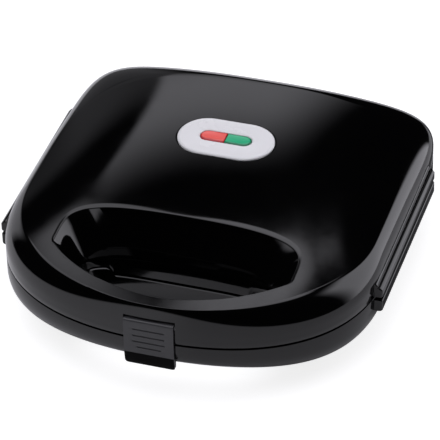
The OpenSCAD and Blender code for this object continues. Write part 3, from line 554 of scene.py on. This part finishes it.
# ---------------------------------------------------------------- base shell
def base_mesh():
    """Up the skirt, over the rim, down on the inside, and down the hand opening."""
    def ring(by, z):
        return at(edge(inset(WALL, by), AROUND), z)

    def opening(z, out):
        return at(grip_at(AROUND, z, out), z)

    wall = edge(WALL, AROUND)
    side = np.clip(np.abs(wall[:, 0]) / CREST.half, 0, 1) ** 2
    deep = np.maximum(side, np.clip((wall[:, 1] - WIDEST) / 60, 0, 1))
    deep = deep * deep * (3 - 2 * deep) * 0.5 + deep * 0.5
    straight = RIM_Z - (SKIRT_FRONT + (SKIRT_SIDE - SKIRT_FRONT) * deep)

    def skirt(inwards, bend):
        r = SKIRT_R - inwards
        return ring(inwards + r * (1 - cos(bend)), straight - r * sin(bend))

    step = step_at(AROUND)
    lip = RIM_Z - step - np.where(step > 0, GAP / 2, 0)

    rings = [opening(UNDER_Z, UNDER_R)]
    rings += [skirt(0, SKIRT_BEND * k / 16) for k in range(16, -1, -1)]
    rings += [at(wall, RIM_Z - EDGE), ring(EDGE_MID, RIM_Z - EDGE_MID), ring(EDGE, RIM_Z), ring(SKIN, RIM_Z)]
    rings += [skirt(SKIN, SKIRT_BEND * k / 3) for k in range(4)]
    rings += [opening(UNDER_Z + SKIN, SKIN + 1), opening(lip, SKIN), opening(lip, LIP_IN),
              opening(lip - LIP_IN, 0)]
    for k in np.linspace(0, 1, 5)[1:]:
        rings.append(opening((lip - LIP_IN) * (1 - k) + (UNDER_Z + UNDER_R) * k, 0))
    for a in np.linspace(0, pi / 2, 5)[1:-1]:
        rings.append(opening(UNDER_Z + UNDER_R * (1 - sin(a)), UNDER_R * (1 - cos(a))))
    return loft(rings)


def pan_mesh():
    around = np.linspace(0, 2 * pi, 192, endpoint=False)
    low = PAN_LOW + PAN_R
    rings = []
    for a in np.linspace(pi / 2, 0, 7):
        rings.append(at(edge(inset(PAN, PAN_LEAN + PAN_R * (1 - cos(a))), around),
                        PAN_LOW + PAN_R * (1 - sin(a))))
    for k in np.linspace(0, 1, 5)[1:]:
        rings.append(at(edge(inset(PAN, PAN_LEAN * (1 - k)), around), low + (UNDER_Z + 1 - low) * k))
    return stack(rings)


base = new_mesh("base_shell_skin", *base_mesh(), mat=gloss)
cut(base, [box((-RECESS_HALF, -PAST, UNDER_Z - PAST), (RECESS_HALF, RECESS_Y, RIM_Z + PAST))])
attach(base, "base")
base_pan = new_mesh("base_pan_and_rails", *join(
    [pan_mesh()] + rail_part(base_rail_section())
    + knuckle_parts(BASE_KNUCKLE_W, (-BASE_KNUCKLE_X, BASE_KNUCKLE_X), -1)
    + recess_parts(BASE_POST_Y, POST_LOW, RIM_Z, RIM_Z - 0.2)
    + [box((-RECESS_HALF - 1, PIVOT_Y, CATCH_LOW), (RECESS_HALF + 1, RECESS_Y + 1, CATCH_HIGH))]),
    body="base", mat=gloss)
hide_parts("base_shell")


# ---------------------------------------------------------------- latch clip
def latch_profile():
    """Section of the clip, seen from the side, as (y, z): lip, hook, barrel round the pin, and top edge."""
    y, z = -LATCH_OUT, SPLIT
    lip = ((0, -9.2), (0.1, -11), (0.3, -13.2), (0.6, -15.5), (1.0, -16.9), (1.5, -18.1), (2.1, -18.8))
    hook = ((2.6, -18.9), (3.1, -18.5), (3.4, -17.9), (3.5, -16), (3.5, -12.8), (3.1, -12.6), (2, -12.6))
    barrel = [(PIVOT_Y + BARREL_R * cos(radians(a)), PIVOT_Z + BARREL_R * sin(radians(a)))
              for a in np.linspace(-60, 150, 16)]
    top = [(PIVOT_Y - 1.2, LATCH_TOP), (y + 0.9, LATCH_TOP), (y + 0.45, LATCH_TOP - 0.25),
           (y + 0.12, LATCH_TOP - 0.8), (y, LATCH_TOP - 1.6)]
    front = [(y, level) for level in np.linspace(LATCH_TOP - 4, z - 7, 9)]
    lower = [(y + inwards, z + up) for inwards, up in lip + hook] + [(y + 2, PIVOT_Z - 3.2)]
    return np.array(lower + [p for p in barrel if p[1] <= LATCH_TOP] + top + front)


def latch_mesh():
    """The section drawn across the width, with the two lower corners of its front view rounded."""
    section, r = latch_profile(), LATCH_CORNER
    ends = [(LATCH_HALF - r * (1 - cos(a)), r * (1 - sin(a))) for a in np.linspace(0, pi / 2, 7)]
    rings = []
    for x, lift in [(-x, lift) for x, lift in ends] + ends[::-1]:
        z = np.maximum(section[:, 1], section[:, 1].min() + lift)
        rings.append(np.stack([np.full(len(z), x), section[:, 0], z], -1))
    return stack(rings)


def groove(z, half, height=1.1, depth=0.45):
    return box((-half, -LATCH_OUT - 2, z - height / 2), (half, -LATCH_OUT + depth, z + height / 2))


latch = new_mesh("latch_clip_body", *latch_mesh(), mat=latch_mat)
cut(latch, [groove(z, half) for z, half in ((47.9, 9.5), (43.4, 9.5), (39.2, 9.5), (35.3, 7.2))])
bevel(latch, width=0.28, segments=3, angle=35)
# painted shade: the clip's lip below LIP_Z is nearly black, for the shadow under the body that it reflects
latch.data.materials.append(painted_shade_mat)
for face in latch.data.polygons:
    if face.center.z < LIP_Z * MM:
        face.material_index = 1
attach(latch, "latch")
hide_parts("latch_clip")


# ---------------------------------------------------------------- indicator
def bezel_mesh():
    """Oval plate with a bevelled outer edge and a softly turned-in window."""
    def rim(inwards, z):
        return at(oval(BEZEL_W - 2 * inwards, BEZEL_D - 2 * inwards, BEZEL_Y), z)

    def window(out, z):
        return at(oval(2 * PILL_HALF + 2 * out, 2 * PILL_R + 2 * out, BEZEL_Y), z)

    z0, z1 = BEZEL_Z, BEZEL_TOP
    return loft([rim(0, z0), rim(0, z0 + 0.9), rim(0.12, z0 + 1.15), rim(0.5, z0 + 1.55), rim(1.1, z1 - 0.18),
                 rim(1.9, z1 - 0.03), rim(2.6, z1), rim(5, z1 + 0.02),
                 window(1.2, z1), window(0.55, z1 - 0.1), window(0.2, z1 - 0.4), window(0, z1 - 0.9),
                 window(0, z0)])


def lens_mesh(side):
    """Half of the pill with a soft dome."""
    r, half, middle = PILL_R - LENS_GAP, PILL_HALF - LENS_GAP, 0.08
    a = np.linspace(-pi / 2, pi / 2, 25)
    end = np.stack([half - r + r * np.cos(a), r * np.sin(a)], -1)
    outline = np.concatenate([end, [[middle, r]], [[middle, 0]], [[middle, -r]]])
    centre = np.array([(half - r) * 0.5, 0])
    rings = [at(outline, BEZEL_Z - 2.2), at(outline, BEZEL_TOP - 0.45)]
    for share, up in ((0.97, -0.25), (0.9, -0.05), (0.75, 0.12), (0.5, 0.24), (0.25, 0.29)):
        ring = centre + (outline - centre) * [1 - (1 - share) * 0.35, share]
        ring[:, 0] = np.maximum(ring[:, 0], middle)
        rings.append(at(ring, BEZEL_TOP + up))
    v, f = stack(rings)
    v = v * [side, 1, 1] + [0, BEZEL_Y, 0]
    return v, f if side > 0 else mirrored(f)


bezel = new_mesh("indicator_plate", *bezel_mesh(), smooth=50, body="lid", mat=silver)
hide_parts("indicator_bezel")
for side, name, mat in ((-1, "red_lens", red), (1, "green_lens", green)):
    ob = new_mesh(name + "_cap", *lens_mesh(side), smooth=60, body="lid", mat=mat)
    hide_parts(name)


# ---------------------------------------------------------------- cooking plates
def pocket_depth(corners, x, y):
    """Distance inside a triangle with rounded corners, as a smooth minimum over its edges."""
    inside = []
    for (px, py), (qx, qy) in zip(corners, corners[1:] + corners[:1]):
        length = sqrt((qx - px) ** 2 + (qy - py) ** 2)
        inside.append((-(qy - py) * (x - px) + (qx - px) * (y - py)) / length)
    return -POCKET_ROUND * np.log(np.exp(-np.stack(inside) / POCKET_ROUND).sum(0))


def plate_face(x, y):
    """Height of the face above its rim: two cells, each with a diagonal ridge between two dished pockets."""
    x0, x1 = CELL_IN, PLATE_W / 2 - CELL_IN
    y0, y1 = CELL_IN - PLATE_D / 2, PLATE_D / 2 - CELL_IN
    z = np.zeros_like(x)
    for corners in ([(x0, y0), (x1, y0), (x1, y1)], [(x0, y0), (x1, y1), (x0, y1)]):
        k = np.clip((pocket_depth(corners, np.abs(x), y) - RIDGE) / POCKET_SLOPE, 0, 1)
        z = np.minimum(z, -POCKET_H * (k * k * (3 - 2 * k)))
    return z


def plate_mesh(flip):
    """Height field of one plate, its border points pulled onto the rounded outline; flip turns it over."""
    x, y = np.meshgrid(np.arange(-PLATE_W / 2, PLATE_W / 2 + 0.01, PLATE_STEP),
                       np.arange(-PLATE_D / 2, PLATE_D / 2 + 0.01, PLATE_STEP), indexing="ij")
    z = plate_face(x, y)
    straight_x, straight_y = PLATE_W / 2 - PLATE_R, PLATE_D / 2 - PLATE_R
    past_x, past_y = np.maximum(np.abs(x) - straight_x, 0), np.maximum(np.abs(y) - straight_y, 0)
    past = np.sqrt(past_x * past_x + past_y * past_y)
    pull = np.where(past > 0, np.maximum(past_x, past_y) / np.maximum(past, 1e-9), 1)
    x = np.sign(x) * (np.minimum(np.abs(x), straight_x) + past_x * pull)
    y = np.sign(y) * (np.minimum(np.abs(y), straight_y) + past_y * pull)
    from_edge = PLATE_R - np.sqrt(np.maximum(np.abs(x) - straight_x, 0) ** 2
                                  + np.maximum(np.abs(y) - straight_y, 0) ** 2)
    z = z - PLATE_EDGE_DROP * (1 - np.clip(from_edge / PLATE_EDGE, 0, 1)) ** 2
    face = np.stack([x, y + PLATE_CENTRE, FACE_Z + z], -1)
    back = face.copy()
    back[..., 2] = np.minimum(FACE_Z - FLANGE_T, face[..., 2] - PLATE_T)
    verts = np.concatenate([face.reshape(-1, 3), back.reshape(-1, 3)])

    n, m = x.shape
    total = n * m
    faces = []
    for i in range(n - 1):
        for j in range(m - 1):
            a, b, c, d = i * m + j, (i + 1) * m + j, (i + 1) * m + j + 1, i * m + j + 1
            faces.append((a, b, c, d))
            faces.append((total + d, total + c, total + b, total + a))
    border = ([i * m for i in range(n)] + [(n - 1) * m + j for j in range(1, m)]
              + [i * m + m - 1 for i in range(n - 2, -1, -1)] + list(range(m - 2, 0, -1)))
    for a, b in zip(border, border[1:] + border[:1]):
        faces.append((b, a, total + a, total + b))
    if flip:
        verts[:, 2] = 2 * SPLIT - verts[:, 2]
        faces = mirrored(faces)
    return verts, faces


for name, body, flip in (("lower_plate", "base", False), ("upper_plate", "lid", True)):
    ob = new_mesh(name + "_casting", *plate_mesh(flip), smooth=50, body=body, mat=coat)
    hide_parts(name)


# ---------------------------------------------------------------- floor and studio
def calc(tree, operation, a, b=None):
    """One math node over sockets and numbers."""
    node = tree.nodes.new("ShaderNodeMath")
    node.operation = operation
    for socket, value in zip(node.inputs, (a, b)):
        if isinstance(value, (int, float)):
            socket.default_value = value
        elif value is not None:
            tree.links.new(value, socket)
    return node.outputs[0]


def rise(tree, value, start, end):
    """0 at start, 1 at end, smooth between."""
    node = tree.nodes.new("ShaderNodeMapRange")
    node.interpolation_type = "SMOOTHSTEP"
    node.inputs["From Min"].default_value, node.inputs["From Max"].default_value = start, end
    tree.links.new(value, node.inputs["Value"])
    return node.outputs["Result"]


def rest(tree, value):
    return calc(tree, "SUBTRACT", 1.0, value)


def seen_directly(tree):
    """The light path node, and 1 for what the camera sees, straight or through glass."""
    path = tree.nodes.new("ShaderNodeLightPath")
    return path, calc(tree, "MAXIMUM", path.outputs["Is Camera Ray"], path.outputs["Is Transmission Ray"])


# floor: half its side (m), its grey and its own glow as the camera sees them
FLOOR_HALF, FLOOR_GREY, FLOOR_GLOW = 30.0, 0.5, 0.8
# what gloss sees of it: a sheet of this radius (m), paler on the left as painted light, which turns from
# SHEET_TURN to its end
SHEET_R, SHEET_LEFT, SHEET_RIGHT, SHEET_TURN = 0.42, 0.95, 0.72, (-0.045, 0.035)
# and a painted shadow, a dim strip along the right side beside the body: left and right edge in x, front edge
# in y (m), share of light lost
STRIP_LEFT, STRIP_RIGHT, STRIP_FRONT, STRIP_LOSS = (0.1, 0.112), (0.137, 0.146), (-0.035, -0.005), 0.85


def floor_material():
    """Pale floor that keeps the shadow; a gloss surface sees it as a sheet of limited size, whose grey holds
    painted light and a painted shadow.
    """
    mat = bpy.data.materials.new("floor")
    mat.use_nodes = True
    tree = mat.node_tree
    tree.nodes.clear()
    place = tree.nodes.new("ShaderNodeTexCoord")
    xyz = tree.nodes.new("ShaderNodeSeparateXYZ")
    tree.links.new(place.outputs["Object"], xyz.inputs[0])
    x, y = xyz.outputs[0], xyz.outputs[1]
    path, direct = seen_directly(tree)

    # painted light and shadow for gloss rays: the sheet's grey falls from left to right, and a dim strip on
    # the right stands in for the shadow beside the body
    to_right = calc(tree, "MULTIPLY", rise(tree, x, *SHEET_TURN), SHEET_LEFT - SHEET_RIGHT)
    painted_shadow_strip = calc(tree, "MULTIPLY", rise(tree, x, *STRIP_LEFT), rise(tree, y, *STRIP_FRONT))
    painted_shadow_strip = calc(tree, "MULTIPLY", painted_shadow_strip, rest(tree, rise(tree, x, *STRIP_RIGHT)))
    tone = calc(tree, "MULTIPLY", calc(tree, "SUBTRACT", SHEET_LEFT, to_right),
                rest(tree, calc(tree, "MULTIPLY", painted_shadow_strip, STRIP_LOSS)))
    tone = calc(tree, "ADD", calc(tree, "MULTIPLY", tone, rest(tree, direct)),
                calc(tree, "MULTIPLY", direct, FLOOR_GREY))

    grey = tree.nodes.new("ShaderNodeBsdfDiffuse")
    tree.links.new(tone, grey.inputs[0])
    glow = tree.nodes.new("ShaderNodeEmission")
    tree.links.new(calc(tree, "MULTIPLY", direct, FLOOR_GLOW), glow.inputs["Strength"])
    both = tree.nodes.new("ShaderNodeAddShader")
    tree.links.new(grey.outputs[0], both.inputs[0])
    tree.links.new(glow.outputs[0], both.inputs[1])

    distance = tree.nodes.new("ShaderNodeVectorMath")
    distance.operation = "LENGTH"
    tree.links.new(place.outputs["Object"], distance.inputs[0])
    beyond = calc(tree, "MULTIPLY", rise(tree, distance.outputs["Value"], SHEET_R, SHEET_R * 1.5),
                  path.outputs["Is Glossy Ray"])
    clear = tree.nodes.new("ShaderNodeBsdfTransparent")
    mix = tree.nodes.new("ShaderNodeMixShader")
    tree.links.new(beyond, mix.inputs[0])
    tree.links.new(both.outputs[0], mix.inputs[1])
    tree.links.new(clear.outputs[0], mix.inputs[2])
    out = tree.nodes.new("ShaderNodeOutputMaterial")
    tree.links.new(mix.outputs[0], out.inputs[0])
    return mat


floor_mesh = bpy.data.meshes.new("floor")
floor_mesh.from_pydata([(-FLOOR_HALF, -FLOOR_HALF, 0), (FLOOR_HALF, -FLOOR_HALF, 0),
                        (FLOOR_HALF, FLOOR_HALF, 0), (-FLOOR_HALF, FLOOR_HALF, 0)], [], [(0, 1, 2, 3)])
floor_mesh.materials.append(floor_material())
floor = bpy.data.objects.new("floor", floor_mesh)
bpy.context.scene.collection.objects.link(floor)

# Soft panels: strength, then the lines that bound each one. A line is (compass factor, height factor,
# start, full): the panel is dark where the sum of both angles times their factors is below start, and full
# where it is above full. The compass angle runs from +Y towards +X, the height up from the horizon (degrees).
PANELS = [
    # overhead, with its edge towards the rear and the right corner of that edge
    (1.9, [(0, 1, 57, 62)]),
    (1.9, [(0.275, 1, 48.1, 49.3), (-1, 0, -9, -5), (0, 1, 30, 34)]),
    (1.9, [(0.63, 1, 48.9, 50.6), (-1, 0, -11, -8), (0, 1, 30, 34)]),
    # high on the left and round to the front
    (1.3, [(-1, 0.32, 46.5, 49), (0, 1, 33, 38)]),
    # behind, and a faint one low behind on the left
    (0.95, [(1, 0.75, -11.5, -9), (1, 0, -36, -33.5), (-1, 0, 3, 15), (0, 1, 14, 22), (0, -1, -43, -25)]),
    (0.18, [(1, 0, -42, -37), (-1, 0, 18, 24), (0, 1, -12, -6), (0, -1, -24, -18)]),
    # low boxes on the right and on the left
    (2.1, [(1, -0.18, 26, 31), (-1, 0, -88, -66), (0, 1, -14, -8), (0, -1, -52, -40)]),
    (0.8, [(1, 0, -72, -60), (-1, 0, 40, 44), (0, 1, -14, -8), (0, -1, -24, -10)]),
]
STUDIO_DARK, STUDIO_COLOUR = 0.004, (0.97, 0.96, 1.03, 1)


def studio():
    """World: a dark studio with soft panels, and plain white where the camera sees it."""
    world = bpy.context.scene.world or bpy.data.worlds.new("studio")
    bpy.context.scene.world = world
    world.use_nodes = True
    tree = world.node_tree
    tree.nodes.clear()
    place = tree.nodes.new("ShaderNodeTexCoord")
    xyz = tree.nodes.new("ShaderNodeSeparateXYZ")
    tree.links.new(place.outputs["Generated"], xyz.inputs[0])
    compass = calc(tree, "MULTIPLY", calc(tree, "ARCTAN2", xyz.outputs[0], xyz.outputs[1]), 180 / pi)
    height = calc(tree, "MULTIPLY", calc(tree, "ARCSINE", xyz.outputs[2]), 180 / pi)
    light = None
    for strength, lines in PANELS:
        panel = strength
        for compass_factor, height_factor, start, full in lines:
            line = calc(tree, "ADD", calc(tree, "MULTIPLY", compass, compass_factor),
                        calc(tree, "MULTIPLY", height, height_factor))
            panel = calc(tree, "MULTIPLY", rise(tree, line, start, full), panel)
        light = panel if light is None else calc(tree, "MAXIMUM", light, panel)

    dark = tree.nodes.new("ShaderNodeBackground")
    dark.inputs["Color"].default_value = STUDIO_COLOUR
    tree.links.new(calc(tree, "ADD", light, STUDIO_DARK), dark.inputs["Strength"])
    white = tree.nodes.new("ShaderNodeBackground")
    white.inputs["Color"].default_value = (1, 1, 1, 1)
    mix = tree.nodes.new("ShaderNodeMixShader")
    tree.links.new(seen_directly(tree)[1], mix.inputs[0])
    tree.links.new(dark.outputs[0], mix.inputs[1])
    tree.links.new(white.outputs[0], mix.inputs[2])
    out = tree.nodes.new("ShaderNodeOutputWorld")
    tree.links.new(mix.outputs[0], out.inputs[0])


studio()

# ---------------------------------------------------------------- camera
IMAGE_PX, SENSOR = 440, 36.0
COMPASS, DOWN, ROLL = radians(18.34), radians(37.29), radians(-1.49)
DISTANCE, FOCAL_PX, SHIFT_PX = 1888.36, 3200.0, (-0.6, 0.6)
TARGET = (5.16, 117.56, SPLIT)


def make_camera():
    """Long lens at the photo's angle, aimed at a point on the parting plane."""
    data = bpy.data.cameras.new("camera")
    cam = bpy.data.objects.new("camera", data)
    bpy.context.scene.collection.objects.link(cam)
    forward = Vector((-sin(COMPASS) * cos(DOWN), cos(COMPASS) * cos(DOWN), -sin(DOWN)))
    level = Vector((cos(COMPASS), sin(COMPASS), 0))
    upright = level.cross(forward)
    right = cos(ROLL) * level + sin(ROLL) * upright
    up = -sin(ROLL) * level + cos(ROLL) * upright
    turn = Matrix((right, up, -forward)).transposed().to_4x4()
    cam.matrix_world = Matrix.Translation(Vector(to_frame(TARGET)) - forward * DISTANCE * MM) @ turn
    data.sensor_width = SENSOR
    data.lens = FOCAL_PX / IMAGE_PX * SENSOR
    data.clip_end = 100
    data.shift_x, data.shift_y = SHIFT_PX[0] / IMAGE_PX, SHIFT_PX[1] / IMAGE_PX
    return cam


bpy.context.scene.camera = make_camera()
bpy.context.scene.view_settings.view_transform = "Standard"
